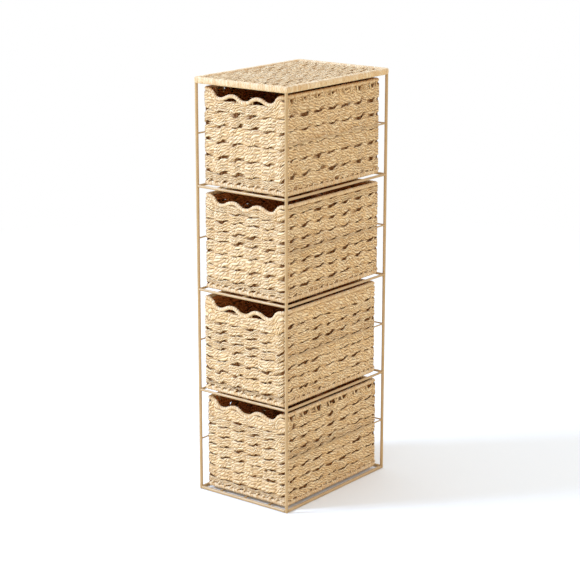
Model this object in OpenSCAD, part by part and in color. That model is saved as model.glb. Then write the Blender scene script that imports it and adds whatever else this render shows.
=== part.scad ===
// Four-drawer storage tower: a welded wire rack with a woven paper-rope top
// and four woven paper-rope baskets that slide out to the front as drawers.
// Millimetres. +Z is up, -Y is the front, +X is the right side.
// The origin is on the floor, under the middle of the tower.

/* [Rack] */
// Distance between post centres, side to side
post_span_x = 214; // [170:1:280]
// Distance between post centres, front to back
post_span_y = 314; // [300:1:400]
// Height from one wire ring to the next
tier_pitch = 202.5; // [160:0.5:260]
// Diameter of the four posts
post_d = 6; // [5:0.5:8]
// Diameter of the four rails that stand on the floor
base_rail_d = 6; // [5:0.5:8]
// Diameter of the shelf and top rails
shelf_rail_d = 5; // [4:0.5:7]
// Diameter of the runner wires under each basket
runner_d = 4; // [3:0.5:5]
// Distance between neighbouring runner wires
runner_pitch = 60; // [35:1:75]
// Diameter of the guide wires beside and behind each basket
guide_d = 3; // [2:0.5:4.5]
// Height of the guide wires above the ring below them
guide_rise = 101; // [60:1:140]

/* [Woven top] */
// Height of the rope-wrapped rim round the top
top_rim_h = 13; // [12:0.5:18]
// Width of that rim, seen from above
top_rim_w = 9.5; // [9:0.5:12]
// How far the rim stands out past the posts
top_rim_overhang = 1.5; // [1.5:0.1:4]
// Thickness of the woven panel inside the rim
top_panel_t = 10; // [7:0.5:12]
// Diameter of the cross wires that the panel is woven on
top_stake_d = 3; // [2:0.5:4]
// Distance between those cross wires
top_stake_pitch = 40; // [30:1:44]

/* [Baskets] */
// Space between a basket's side and the posts
side_play = 5; // [2:0.5:12]
// Distance from the post centres back to a basket's front, and the same behind it
basket_setback = 9; // [6:0.5:20]
// Free height between a basket and the ring above it
head_room = 13.2; // [10:0.1:40]
// Thickness of the woven walls
wall_t = 7; // [6.5:0.5:10]
// Height of the rope-wrapped band round the bottom edge
binding_h = 9; // [7:0.5:14]
// Thickness of the woven bottom
bottom_t = 5; // [4.5:0.5:6.5]
// Thickness of the rope-wrapped rim along the sides and the rear
side_rim_d = 8; // [7:0.5:9]
// Thickness of the scalloped rope-wrapped rim along the front
front_rim_d = 6; // [5.5:0.5:8]
// Number of scallops along the front rim
scallops = 3; // [2:1:4]
// Height of each scallop's crest above its dip
scallop_rise = 8; // [4:0.5:12]
// How far the dips lie below the side rims, measured at the rim centres
front_dip = 14; // [10:0.5:20]
// How far each basket stands forward at rest, from the top one down
basket_forward = [0, 0, 6, 0];

/* [Basket wires] */
// Diameter of the rim wire and of the bottom wire loop
loop_wire_d = 4; // [3.5:0.25:4.5]
// Diameter of the upright stakes and the bottom wires
stake_d = 3; // [2:0.25:3.25]
// Number of stakes across the front, and across the rear
front_stakes = 4; // [2:1:4]
// Distance between the stakes of the front and the rear
front_stake_pitch = 37.5; // [25:0.5:40]
// Number of stakes along each side
side_stakes = 7; // [3:1:7]
// Distance between the stakes of a side
side_stake_pitch = 42.5; // [25:0.5:44]
// Inner radius left inside the bend of a rim corner
corner_inner_r = 1; // [0.5:0.25:1.5]

/* [Clearances] */
// Gap between a basket and the wires that carry it
seat_gap = 0.3; // [0.2:0.05:1]
// Gap between rope and the wire that it is wound on
rope_gap = 0.3; // [0.2:0.05:0.4]
// Root gap of a weld between two wires
weld_gap = 0.1; // [0.05:0.05:0.2]

/* [Hidden] */
$fn = 48;
TIERS = 4;
RACK_COLOUR = [0.80, 0.68, 0.52];
ROPE_COLOUR = [0.87, 0.76, 0.59];
RIM_COLOUR = [0.90, 0.80, 0.64];
WIRE_COLOUR = [0.62, 0.52, 0.40];

FRAME_PIECES = [
    "post_front_left", "post_front_right", "post_rear_left", "post_rear_right",
    "base_rails", "top_rails", "top_stakes", "top_weave", "top_rim"
];
DRAWER_PIECES = [
    "wire_frame", "front_weave", "left_weave", "right_weave", "rear_weave",
    "bottom_weave", "side_rim", "front_rim", "base_binding"
];

// Rack, worked out. Ring 0 stands on the floor and ring TIERS carries the top.
function ring_z(ring) = base_rail_d / 2 + ring * tier_pitch;
function rail_d(ring) = ring == 0 ? base_rail_d : shelf_rail_d;
half_x = post_span_x / 2;
half_y = post_span_y / 2;
runners = 3;
post_chamfer = 0.8;
top_z = ring_z(TIERS);
post_top_z = top_z + shelf_rail_d / 2;

// Woven top, worked out. The rim's section is a slot with round ends.
rim_outer_x = half_x + post_d / 2 + top_rim_overhang;
rim_outer_y = half_y + post_d / 2 + top_rim_overhang;
rim_inner_x = rim_outer_x - top_rim_w;
rim_inner_y = rim_outer_y - top_rim_w;
rim_corner_r = top_rim_w / 2 + 1.5;
panel_x = 2 * (rim_inner_x - rope_gap);
panel_y = 2 * (rim_inner_y - rope_gap);
top_stakes = 2 * floor((rim_inner_y - top_stake_d) / top_stake_pitch) + 1;

// Baskets, worked out
basket_w = post_span_x - post_d - 2 * side_play;
basket_d = post_span_y - 2 * basket_setback;
basket_h = tier_pitch - shelf_rail_d - seat_gap - head_room;
corner_bend = side_rim_d / 2 + corner_inner_r;
outer_corner_r = corner_bend + wall_t / 2;
inner_corner_r = max(corner_bend - wall_t / 2, 0.5);
wire_x = basket_w / 2 - wall_t / 2;
wire_y = basket_d / 2 - wall_t / 2;
straight_x = wire_x - corner_bend;
straight_y = wire_y - corner_bend;
upright_x = straight_x + corner_bend * cos(45);
upright_y = straight_y + corner_bend * sin(45);
rim_z = basket_h - side_rim_d / 2;
loop_z = binding_h / 2;
side_wall_top = rim_z - side_rim_d / 2 - rope_gap;
dip_z = rim_z - front_dip;
front_wall_top = dip_z - front_rim_d / 2 - rope_gap;

// The front rim runs in S-curves, each from a dip up to a crest or to a corner.
// An S-curve is two equal arcs that meet half way.
run = straight_x / scallops;
function rise_of(i) = (i == 0 || i == 2 * scallops - 1) ? front_dip : scallop_rise;
function turn_of(rise) = 2 * atan(rise / run);
function bend_of(rise) = run / (2 * sin(turn_of(rise)));
function s_height(u, rise) =
    let (bend = bend_of(rise))
    u <= run / 2
        ? bend - sqrt(bend * bend - u * u)
        : rise - bend + sqrt(bend * bend - (run - u) * (run - u));
function s_slope(u, rise) =
    asin((u <= run / 2 ? u : run - u) / bend_of(rise));
// The line's height and slope at a distance t from its left end
function scallop_at(t) =
    let (
        i = min(floor(t / run + 1e-6), 2 * scallops - 1),
        falling = i % 2 == 0,
        u = falling ? (i + 1) * run - t : t - i * run,
        slope = s_slope(u, rise_of(i))
    )
    [t - straight_x, dip_z + s_height(u, rise_of(i)), falling ? -slope : slope];
PATH_STEPS = 6;
// The swept line's chords lie up to this far inside its arcs
chord_sag = 0.15;
RIM_SIDES = 10;
WIRE_SIDES = 8;
scallop_path = [
    for (j = [0 : 2 * scallops * PATH_STEPS]) scallop_at(j * run / PATH_STEPS)
];

// A front stake ends square, just under the lowest part of the rim wire above it
function scallop_underside(x) =
    let (at = scallop_at(x + straight_x))
    at[1] - loop_wire_d / 2 / cos(at[2]);
function front_stake_top(x) =
    min([for (s = [-1, 0, 1]) scallop_underside(x + s * stake_d / 2)]) - weld_gap - chord_sag;

// Where basket n, counted from the top, stands
function basket_ring(n) = TIERS - n;
function basket_z(n) = ring_z(basket_ring(n)) + rail_d(basket_ring(n)) / 2 + seat_gap;

// Evenly spaced places about zero
function spread(count, pitch) = [for (i = [0 : count - 1]) (i - (count - 1) / 2) * pitch];

// ---------- shapes that several pieces share ----------

// A round bar along X, Y or Z, from one value to another
module bar_x(x0, x1, y, z, d) {
    translate([x0, y, z]) rotate([0, 90, 0]) cylinder(d = d, h = x1 - x0);
}

module bar_y(y0, y1, x, z, d) {
    translate([x, y0, z]) rotate([-90, 0, 0]) cylinder(d = d, h = y1 - y0);
}

module bar_z(z0, z1, x, y, d) {
    translate([x, y, z0]) cylinder(d = d, h = z1 - z0);
}

// A rectangle with round corners, centred
module round_plan(w, d, r) {
    square([w - 2 * r, d], center = true);
    square([w, d - 2 * r], center = true);
    for (sx = [-1, 1], sy = [-1, 1])
        translate([sx * (w / 2 - r), sy * (d / 2 - r)]) circle(r = r);
}

// A disc, or a ring where it has a bore
module section(d, bore) {
    difference() {
        circle(d = d);
        if (bore > 0) circle(d = bore);
    }
}

// All four posts as plain bars, grown for cuts
module post_space(grow) {
    for (sx = [-1, 1], sy = [-1, 1])
        bar_z(-1, post_top_z, sx * half_x, sy * half_y, post_d + 2 * grow);
}

// The rails of a ring as plain bars. Each ends half its width short of the post centres.
module rail_bars(ring, grow) {
    z = ring_z(ring);
    d = rail_d(ring);
    for (sy = [-1, 1])
        bar_x(-half_x + d / 2, half_x - d / 2, sy * half_y, z, d + 2 * grow);
    for (sx = [-1, 1])
        bar_y(-half_y + d / 2, half_y - d / 2, sx * half_x, z, d + 2 * grow);
}

// ---------- rack ----------

module post(sx, sy) {
    color(RACK_COLOUR) translate([sx * half_x, sy * half_y, 0]) {
        cylinder(d1 = post_d - 2 * post_chamfer, d2 = post_d, h = post_chamfer);
        bar_z(post_chamfer, post_top_z, 0, 0, post_d);
    }
}

// Four rails of one ring, their ends coped round the posts
module rails(ring) {
    color(RACK_COLOUR) difference() {
        rail_bars(ring, 0);
        post_space(weld_gap);
    }
}

// Wires from the front rail to the rear rail, level with the rail tops
module runner_wires(n) {
    ring = basket_ring(n);
    reach = half_y - rail_d(ring) / 4;
    z = ring_z(ring) + rail_d(ring) / 2 - runner_d / 2;
    color(RACK_COLOUR) difference() {
        for (x = spread(runners, runner_pitch)) bar_y(-reach, reach, x, z, runner_d);
        rail_bars(ring, weld_gap);
    }
}

// Wires beside and behind a basket, half way up its tier
module guide_rails(n) {
    z = ring_z(basket_ring(n)) + guide_rise;
    color(RACK_COLOUR) difference() {
        union() {
            for (sx = [-1, 1])
                bar_y(-half_y + guide_d / 2, half_y - guide_d / 2, sx * half_x, z, guide_d);
            bar_x(-half_x + guide_d / 2, half_x - guide_d / 2, half_y, z, guide_d);
        }
        post_space(weld_gap);
    }
}

// ---------- woven top ----------

module top_stake_bars(grow) {
    reach = half_x - shelf_rail_d / 4;
    for (y = spread(top_stakes, top_stake_pitch))
        bar_x(-reach, reach, y, top_z, top_stake_d + 2 * grow);
}

module top_stakes() {
    color(WIRE_COLOUR) difference() {
        top_stake_bars(0);
        rail_bars(TIERS, weld_gap);
    }
}

module top_weave() {
    color(ROPE_COLOUR) difference() {
        translate([0, 0, top_z - top_panel_t / 2])
            linear_extrude(top_panel_t) square([panel_x, panel_y], center = true);
        top_stake_bars(rope_gap);
    }
}

// The rim's section, standing up: X is across the rim, measured from its outer face inwards
module rim_section() {
    end_r = top_rim_w / 2;
    for (s = [-1, 1]) translate([-end_r, s * (top_rim_h / 2 - end_r)]) circle(r = end_r);
    translate([-top_rim_w, end_r - top_rim_h / 2]) square([top_rim_w, top_rim_h - 2 * end_r]);
}

module rim_side_x(sy) {
    reach = rim_outer_x - rim_corner_r;
    translate([-reach, sy * rim_outer_y, 0]) rotate([90, 0, 90])
        linear_extrude(2 * reach) mirror([sy < 0 ? 1 : 0, 0]) rim_section();
}

module rim_side_y(sx) {
    reach = rim_outer_y - rim_corner_r;
    translate([sx * rim_outer_x, reach, 0]) rotate([90, 0, 0])
        linear_extrude(2 * reach) mirror([sx < 0 ? 1 : 0, 0]) rim_section();
}

module rim_corner(sx, sy) {
    mirror([sx < 0 ? 1 : 0, 0, 0]) mirror([0, sy < 0 ? 1 : 0, 0])
        translate([rim_outer_x - rim_corner_r, rim_outer_y - rim_corner_r, 0])
            rotate_extrude(angle = 90) intersection() {
                translate([rim_corner_r, 0]) rim_section();
                translate([0, -top_rim_h]) square([2 * top_rim_w, 2 * top_rim_h]);
            }
}

module top_rim() {
    color(RIM_COLOUR) difference() {
        translate([0, 0, top_z]) {
            for (s = [-1, 1]) {
                rim_side_x(s);
                rim_side_y(s);
            }
            for (sx = [-1, 1], sy = [-1, 1]) rim_corner(sx, sy);
        }
        post_space(rope_gap);
        rail_bars(TIERS, rope_gap);
        top_stake_bars(rope_gap);
    }
}

// ---------- basket, about its own origin: the middle of its underside ----------

// The scalloped front line, from one corner bend to the other, is swept through rings.
// A ring stands square to the line: its first axis lies in the XZ plane, its second along Y.
// Both ends stop short of the corner bends by end_gap.
module scallop_tube(d, bore, end_gap) {
    hollow = bore > 0;
    sides = hollow ? RIM_SIDES : WIRE_SIDES;
    rings = len(scallop_path);
    function ring(j, size) = [
        for (m = [0 : sides - 1])
            let (
                at = scallop_path[j],
                trim = j == 0 ? end_gap : j == rings - 1 ? -end_gap : 0,
                up = size / 2 * cos(m * 360 / sides),
                out = size / 2 * sin(m * 360 / sides)
            )
            [at[0] + trim - up * sin(at[2]), out - wire_y, at[1] + up * cos(at[2])]
    ];
    outer = [for (j = [0 : rings - 1]) each ring(j, d)];
    inner = hollow ? [for (j = [0 : rings - 1]) each ring(j, bore)] : [];
    skin = rings * sides;
    function wall(start, flip) = [
        for (j = [0 : rings - 2], m = [0 : sides - 1])
            let (
                a = start + j * sides + m,
                b = start + j * sides + (m + 1) % sides,
                c = b + sides,
                e = a + sides
            )
            each flip ? [[a, c, b], [a, e, c]] : [[a, b, c], [a, c, e]]
    ];
    function ring_cap(j, flip) = [
        for (m = [0 : sides - 1])
            let (
                a = j * sides + m,
                b = j * sides + (m + 1) % sides,
                c = b + skin,
                e = a + skin
            )
            each flip ? [[a, c, b], [a, e, c]] : [[a, b, c], [a, c, e]]
    ];
    function disc_cap(j, flip) = [
        for (m = [1 : sides - 2])
            let (a = j * sides, b = a + m, c = b + 1)
            flip ? [a, c, b] : [a, b, c]
    ];
    last = rings - 1;
    faces = hollow
        ? concat(wall(0, false), wall(skin, true), ring_cap(0, true), ring_cap(last, false))
        : concat(wall(0, false), disc_cap(0, true), disc_cap(last, false));
    polyhedron(concat(outer, inner), faces, convexity = 8);
}

// A straight hollow or solid cord along X or Y
module cord_x(x0, x1, y, z, d, bore) {
    translate([x0, y, z]) rotate([0, 90, 0]) linear_extrude(x1 - x0) section(d, bore);
}

module cord_y(y0, y1, x, z, d, bore) {
    translate([x, y0, z]) rotate([-90, 0, 0]) linear_extrude(y1 - y0) section(d, bore);
}

// The bend of a level loop at one corner
module corner_bend_at(sx, sy, z, d, bore) {
    mirror([sx < 0 ? 1 : 0, 0, 0]) mirror([0, sy < 0 ? 1 : 0, 0])
        translate([straight_x, straight_y, z])
            rotate_extrude(angle = 90) translate([corner_bend, 0]) section(d, bore);
}

// Both sides, the rear and the four corner bends of a level loop
module three_sides(z, d, bore) {
    for (sx = [-1, 1]) cord_y(-straight_y, straight_y, sx * wire_x, z, d, bore);
    cord_x(-straight_x, straight_x, wire_y, z, d, bore);
    for (sx = [-1, 1], sy = [-1, 1]) corner_bend_at(sx, sy, z, d, bore);
}

module front_stake_bars(grow) {
    for (x = spread(front_stakes, front_stake_pitch))
        bar_z(loop_z, front_stake_top(x) + grow, x, -wire_y, stake_d + 2 * grow);
}

module rear_stake_bars(grow) {
    for (x = spread(front_stakes, front_stake_pitch))
        bar_z(loop_z, rim_z, x, wire_y, stake_d + 2 * grow);
}

module side_stake_bars(sx, grow) {
    for (y = spread(side_stakes, side_stake_pitch))
        bar_z(loop_z, rim_z, sx * wire_x, y, stake_d + 2 * grow);
}

module corner_upright_bars(grow) {
    for (sx = [-1, 1], sy = [-1, 1])
        bar_z(loop_z, rim_z, sx * upright_x, sy * upright_y, stake_d + 2 * grow);
}

module bottom_wire_bars(grow) {
    for (x = spread(front_stakes, front_stake_pitch))
        bar_y(-wire_y, wire_y, x, loop_z, stake_d + 2 * grow);
}

// The welded wire frame that the basket is woven on
module wire_frame() {
    color(WIRE_COLOUR) {
        three_sides(rim_z, loop_wire_d, 0);
        scallop_tube(loop_wire_d, 0, weld_gap);
        three_sides(loop_z, loop_wire_d, 0);
        cord_x(-straight_x, straight_x, -wire_y, loop_z, loop_wire_d, 0);
        front_stake_bars(0);
        rear_stake_bars(0);
        for (sx = [-1, 1]) side_stake_bars(sx, 0);
        corner_upright_bars(0);
        bottom_wire_bars(0);
    }
}

// The front wall's outline follows the rim up to both corners and is level between them
function rise_edge(side) = [
    for (step = [0 : 6])
        let (
            u = step * run / 6,
            slope = s_slope(u, front_dip),
            off = front_rim_d / 2 + rope_gap,
            x = straight_x - run + u + off * sin(slope),
            z = dip_z + s_height(u, front_dip) - off * cos(slope)
        )
        [side * x, min(z, side_wall_top)]
];
function reversed(list) = [for (i = [len(list) - 1 : -1 : 0]) list[i]];
front_outline = concat(
    [[-basket_w / 2, binding_h], [basket_w / 2, binding_h], [basket_w / 2, side_wall_top]],
    reversed(rise_edge(1)),
    rise_edge(-1),
    [[-basket_w / 2, side_wall_top]]
);

module front_weave() {
    color(ROPE_COLOUR) difference() {
        intersection() {
            translate([0, wall_t - basket_d / 2, 0]) rotate([90, 0, 0])
                linear_extrude(wall_t) polygon(front_outline);
            linear_extrude(basket_h) round_plan(basket_w, basket_d, outer_corner_r);
        }
        front_stake_bars(rope_gap);
        corner_upright_bars(rope_gap);
    }
}

// A wall that is as high as the side rims, cut from the basket's plan
module full_wall(low, size) {
    translate([0, 0, binding_h]) linear_extrude(side_wall_top - binding_h) intersection() {
        round_plan(basket_w, basket_d, outer_corner_r);
        translate(low) square(size);
    }
}

module side_weave(sx) {
    low_x = sx > 0 ? basket_w / 2 - wall_t : -basket_w / 2;
    color(ROPE_COLOUR) difference() {
        full_wall([low_x, wall_t - basket_d / 2], [wall_t, basket_d - 2 * wall_t]);
        side_stake_bars(sx, rope_gap);
    }
}

module rear_weave() {
    color(ROPE_COLOUR) difference() {
        full_wall([-basket_w / 2, basket_d / 2 - wall_t], [basket_w, wall_t]);
        rear_stake_bars(rope_gap);
        corner_upright_bars(rope_gap);
    }
}

module bottom_weave() {
    w = basket_w - 2 * (wall_t + rope_gap);
    d = basket_d - 2 * (wall_t + rope_gap);
    color(ROPE_COLOUR) difference() {
        translate([0, 0, loop_z - bottom_t / 2])
            linear_extrude(bottom_t) round_plan(w, d, inner_corner_r);
        bottom_wire_bars(rope_gap);
    }
}

module side_rim() {
    color(RIM_COLOUR) difference() {
        three_sides(rim_z, side_rim_d, loop_wire_d + 2 * rope_gap);
        rear_stake_bars(rope_gap);
        for (sx = [-1, 1]) side_stake_bars(sx, rope_gap);
        corner_upright_bars(rope_gap);
    }
}

module front_rim() {
    color(RIM_COLOUR) difference() {
        scallop_tube(front_rim_d, loop_wire_d + 2 * rope_gap, 0);
        front_stake_bars(rope_gap);
    }
}

module base_binding() {
    bore = loop_wire_d + 2 * rope_gap;
    color(RIM_COLOUR) difference() {
        linear_extrude(binding_h) difference() {
            round_plan(basket_w, basket_d, outer_corner_r);
            round_plan(basket_w - 2 * wall_t, basket_d - 2 * wall_t, inner_corner_r);
        }
        three_sides(loop_z, bore, 0);
        cord_x(-straight_x, straight_x, -wire_y, loop_z, bore, 0);
        front_stake_bars(rope_gap);
        rear_stake_bars(rope_gap);
        for (sx = [-1, 1]) side_stake_bars(sx, rope_gap);
        corner_upright_bars(rope_gap);
        bottom_wire_bars(rope_gap);
    }
}

module basket_piece(piece) {
    if (piece == "wire_frame") wire_frame();
    if (piece == "front_weave") front_weave();
    if (piece == "left_weave") side_weave(-1);
    if (piece == "right_weave") side_weave(1);
    if (piece == "rear_weave") rear_weave();
    if (piece == "bottom_weave") bottom_weave();
    if (piece == "side_rim") side_rim();
    if (piece == "front_rim") front_rim();
    if (piece == "base_binding") base_binding();
}

// ---------- every node ----------

post(-1, -1);  // post_front_left
post(1, -1);  // post_front_right
post(-1, 1);  // post_rear_left
post(1, 1);  // post_rear_right
rails(0);  // base_rails
rails(TIERS);  // top_rails
top_stakes();
top_weave();
top_rim();
for (n = [1 : TIERS - 1])
    rails(basket_ring(n));
for (n = [1 : TIERS]) {
    runner_wires(n);
    guide_rails(n);
    for (piece = DRAWER_PIECES)
        translate([0, -basket_forward[n - 1], basket_z(n)]) basket_piece(piece);
}
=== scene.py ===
"""Looks of a four-drawer bathroom storage tower: a powder-coated wire rack with a
woven paper-rope top, and four woven paper-rope baskets that slide out as drawers.

Everything is in metres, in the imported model's frame: +Z up, -Y the front.
"""

import logging
import math
from dataclasses import dataclass
from enum import Enum

import bpy
import numpy as np
from mathutils import Matrix


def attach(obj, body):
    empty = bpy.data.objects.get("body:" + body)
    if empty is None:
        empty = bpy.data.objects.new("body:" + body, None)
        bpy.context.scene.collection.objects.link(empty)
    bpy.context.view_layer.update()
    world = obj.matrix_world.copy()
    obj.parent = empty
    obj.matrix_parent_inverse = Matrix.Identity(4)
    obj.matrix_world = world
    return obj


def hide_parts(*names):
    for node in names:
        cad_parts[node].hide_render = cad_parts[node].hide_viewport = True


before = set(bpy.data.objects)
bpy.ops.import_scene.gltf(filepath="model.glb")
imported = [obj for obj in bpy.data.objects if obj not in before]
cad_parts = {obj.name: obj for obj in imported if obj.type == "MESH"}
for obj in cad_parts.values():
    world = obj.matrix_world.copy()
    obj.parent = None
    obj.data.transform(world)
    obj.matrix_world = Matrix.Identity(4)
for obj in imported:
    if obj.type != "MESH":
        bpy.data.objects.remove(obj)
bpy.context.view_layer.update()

MM = 0.001
X_AXIS, Y_AXIS, Z_AXIS = np.eye(3)
# Folds met on a walk round a twisted cord
FOLDS = 3
# A random wave starts anywhere up to this angle
FULL_TURN = 6.28
# Distances closer than this are the same place
SAME = 1e-9
log = logging.getLogger("storage_tower")

Array = np.ndarray
Triple = tuple[float, float, float]
Socket = bpy.types.NodeSocket


# -------- choices


class Wall(Enum):
    """A basket wall, in the order met on a walk round the basket from its front left corner."""

    FRONT = 0
    RIGHT = 1
    REAR = 2
    LEFT = 3

    @property
    def wide(self) -> bool:
        """Whether the wall runs across the basket, as the front and the rear do."""
        return self in (Wall.FRONT, Wall.REAR)


# Each wall's direction on the walk, and its direction outwards
WALL_AXES = {
    Wall.FRONT: (X_AXIS, -Y_AXIS),
    Wall.RIGHT: (Y_AXIS, X_AXIS),
    Wall.REAR: (-X_AXIS, Y_AXIS),
    Wall.LEFT: (-Y_AXIS, -X_AXIS),
}


class Slot(Enum):
    """The names of the record's material slots for the ropes."""

    ROPE_WEAVE = "rope_weave"
    ROPE_BINDING = "rope_binding"


class RimFit(Enum):
    """How the weave meets the rim."""

    OPEN = "open"
    FILLED = "filled"


# -------- node helpers


class NodeBench:
    """A node tree, with short calls that add and join nodes."""

    def __init__(self, owner: bpy.types.ID, output: str) -> None:
        """Starts an empty tree with an output.

        Args:
            owner: The material or world that the tree belongs to.
            output: The output node's kind.
        """
        owner.use_nodes = True
        self.owner = owner
        self.tree = owner.node_tree
        self.tree.nodes.clear()
        self.surface = self.add(output).inputs["Surface"]

    def feed(self, target: Socket, value: object) -> None:
        """Gives an input its value.

        Args:
            target: The input.
            value: A socket to link, a colour or a number.
        """
        if isinstance(value, Socket):
            self.tree.links.new(value, target)
        else:
            target.default_value = (*value, 1.0) if isinstance(value, tuple) else value

    def add(self, kind: str, inputs: dict | None = None, **settings: object) -> bpy.types.Node:
        """Adds a node.

        Args:
            kind: The node's type name without ShaderNode in front.
            inputs: A value for each input, by name or number.
            **settings: Attributes to set on the node.

        Returns:
            The new node.
        """
        node = self.tree.nodes.new(f"ShaderNode{kind}")
        for key, value in settings.items():
            setattr(node, key, value)
        for key, value in (inputs or {}).items():
            self.feed(node.inputs[key], value)
        return node

    def maths(self, operation: str, *values: object) -> Socket:
        """Adds a Math node for sockets or numbers."""
        return self.add("Math", dict(enumerate(values)), operation=operation).outputs[0]

    def times(self, first: object, second: object) -> Socket:
        """Multiplies two values."""
        return self.maths("MULTIPLY", first, second)

    def plus(self, first: object, second: object) -> Socket:
        """Adds two values."""
        return self.maths("ADD", first, second)

    def weigh(self, first: Socket, share: float, second: Socket) -> Socket:
        """Adds a share of the first value and the rest of the second."""
        return self.plus(self.times(first, share), self.times(second, 1 - share))

    def wave(self, turns: Socket) -> Socket:
        """A groove at every whole turn: 0 in the groove and 1 on the crest."""
        return self.maths("ABSOLUTE", self.maths("SINE", self.times(turns, math.pi)))

    def noise(self, vector: Socket, scale: float, detail: float) -> Socket:
        """Adds a Noise texture."""
        return self.add("TexNoise", {"Vector": vector, "Scale": scale, "Detail": detail}).outputs["Fac"]

    def spread(self, value: Socket, low: float, high: float, first: float = 0, last: float = 1) -> Socket:
        """Maps low to first and high to last, and clamps beyond them."""
        ends = {"From Min": low, "From Max": high, "To Min": first, "To Max": last}
        return self.add("MapRange", {"Value": value, **ends}).outputs["Result"]

    def mix(self, factor: Socket, first: object, second: object) -> Socket:
        """Mixes two colours. The factor is how much of the second one shows."""
        # The colour inputs share their names with those for numbers, so they go by place
        return self.add("Mix", {0: factor, 6: first, 7: second}, data_type="RGBA").outputs[2]

    def combine(self, **parts: object) -> Socket:
        """A vector of the given X, Y and Z."""
        return self.add("CombineXYZ", parts).outputs["Vector"]

    def split(self, vector: Socket) -> bpy.types.bpy_prop_collection:
        """A vector's X, Y and Z."""
        return self.add("SeparateXYZ", {"Vector": vector}).outputs

    def place(self) -> Socket:
        """The Object coordinates."""
        return self.add("TexCoord").outputs["Object"]

    def attribute(self, name: str) -> Socket:
        """An attribute of the mesh."""
        return self.add("Attribute", attribute_name=name).outputs["Fac"]

    def cord(self) -> tuple[Socket, Socket]:
        """The place round the cord, 0 to 1, and the turns along it, from the cord's UV map."""
        parts = self.split(self.add("UVMap", uv_map="cord").outputs["UV"])
        return parts["X"], parts["Y"]

    def seen(self) -> Socket:
        """1 for a ray of the camera's view, straight or by mirror or glass, and 0 for any other."""
        path = self.add("LightPath").outputs
        straight = self.plus(path["Is Camera Ray"], path["Is Glossy Ray"])
        return self.maths("MINIMUM", self.plus(straight, path["Is Transmission Ray"]), 1.0)

    def shade(
        self,
        colour: Socket,
        roughness: Socket | float,
        height: Socket,
        strength: float,
        depth: float,
        specular: float = 0.5,
    ) -> bpy.types.Material:
        """Adds a Principled shader with a bumped surface.

        Args:
            colour: The base colour.
            roughness: The roughness.
            height: The bump's height.
            strength: The bump's strength.
            depth: The bump's depth in metres.
            specular: The level of reflection.

        Returns:
            The material, ready.
        """
        bump = self.add("Bump", {"Height": height, "Strength": strength, "Distance": depth}).outputs["Normal"]
        inputs = {"Base Color": colour, "Roughness": roughness, "Specular IOR Level": specular}
        self.feed(self.surface, self.add("BsdfPrincipled", {**inputs, "Normal": bump}).outputs["BSDF"])
        return self.owner


def new_material(name: str) -> NodeBench:
    """Starts the nodes of a new material."""
    return NodeBench(bpy.data.materials.new(name), "OutputMaterial")


def linear(*levels: int) -> Triple:
    """Turns an sRGB colour of 0 to 255 into linear values."""
    shares = (level / 255 for level in levels)
    return tuple(v / 12.92 if v <= 0.04045 else ((v + 0.055) / 1.055) ** 2.4 for v in shares)


# -------- finishes


@dataclass(frozen=True)
class PaperRopeFinish:
    """Twisted paper cord: folds laid in a helix, crease lines, and a tone of its own for each cord. Creases,
    valleys between folds, the weave's pits and faces inside the basket get painted shade.
    """

    name: str = "paper_rope_weave"
    light: Triple = linear(249, 229, 199)
    mid: Triple = linear(238, 207, 164)
    # The dark colour is painted shade, in the crease lines and in the valleys between folds
    dark: Triple = linear(160, 112, 64)
    # Painted shade: dark brown for the pits of the weave, and warm brown for faces inside the basket
    pit_shade: Triple = linear(118, 72, 27)
    hollow_shade: Triple = linear(208, 134, 80)
    roughness: float = 0.72
    specular: float = 0.35
    relief: float = 1.4 * MM
    patch_scale: float = 30.0
    patch_share: float = 0.4
    crease_count: float = 3.0
    crease_stretch: float = 0.8
    # How much painted shade the crease lines take
    crease_shade: float = 0.60
    crease_relief: float = 0.35
    # How much painted shade the valleys between folds take
    valley_shade: float = 0.70
    tone_seeds: tuple[float, float] = (91.0, 37.0)

    def material(self) -> bpy.types.Material:
        """Makes the finish.

        Returns:
            The material. It reads the cord's UV map, its tone attribute, and an attribute of painted shade
            for the weave's pits and inner faces.
        """
        bench = new_material(self.name)
        around, along = bench.cord()
        tone, inside = bench.attribute("tone"), bench.attribute("inside")
        fold_seed, crease_seed = (bench.times(tone, seed) for seed in self.tone_seeds)
        # The folds climb round the cord, and the mesh swells with the same wave
        climb = bench.times(around, FOLDS)
        turns = bench.plus(along, climb)
        ply = bench.wave(turns)
        # One fold after another is paler or darker
        fold = bench.combine(X=bench.maths("FLOOR", turns), Y=fold_seed)
        grain = bench.add("TexWhiteNoise", {"Vector": fold}, noise_dimensions="2D").outputs["Value"]
        # Creases run along the plies
        lengthwise = bench.times(bench.maths("SUBTRACT", along, climb), self.crease_stretch)
        lined = bench.combine(X=bench.times(turns, self.crease_count), Y=lengthwise, Z=crease_seed)
        crease = bench.noise(lined, 1.0, 3.0)
        patch = bench.noise(bench.place(), self.patch_scale, 2.0)
        shade = bench.weigh(patch, self.patch_share, grain)
        colour = bench.mix(bench.spread(shade, 0.2, 0.75), self.mid, self.light)
        # Painted shade in the crease lines and in the valleys between the folds
        colour = bench.mix(bench.spread(crease, 0.36, 0.60, self.crease_shade, 0.0), colour, self.dark)
        colour = bench.mix(bench.spread(ply, 0.0, 0.5, self.valley_shade, 0.0), colour, self.dark)
        # Painted shade: dark in the pits of the weave, and warm brown where the cord faces inside the basket
        colour = bench.mix(bench.spread(inside, 0.05, 0.45), colour, self.pit_shade)
        colour = bench.mix(bench.spread(inside, 0.65, 0.95), colour, self.hollow_shade)
        height = bench.plus(bench.spread(ply, 0.0, 0.8), bench.times(crease, self.crease_relief))
        return bench.shade(colour, self.roughness, height, 1.0, self.relief, self.specular)


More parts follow.
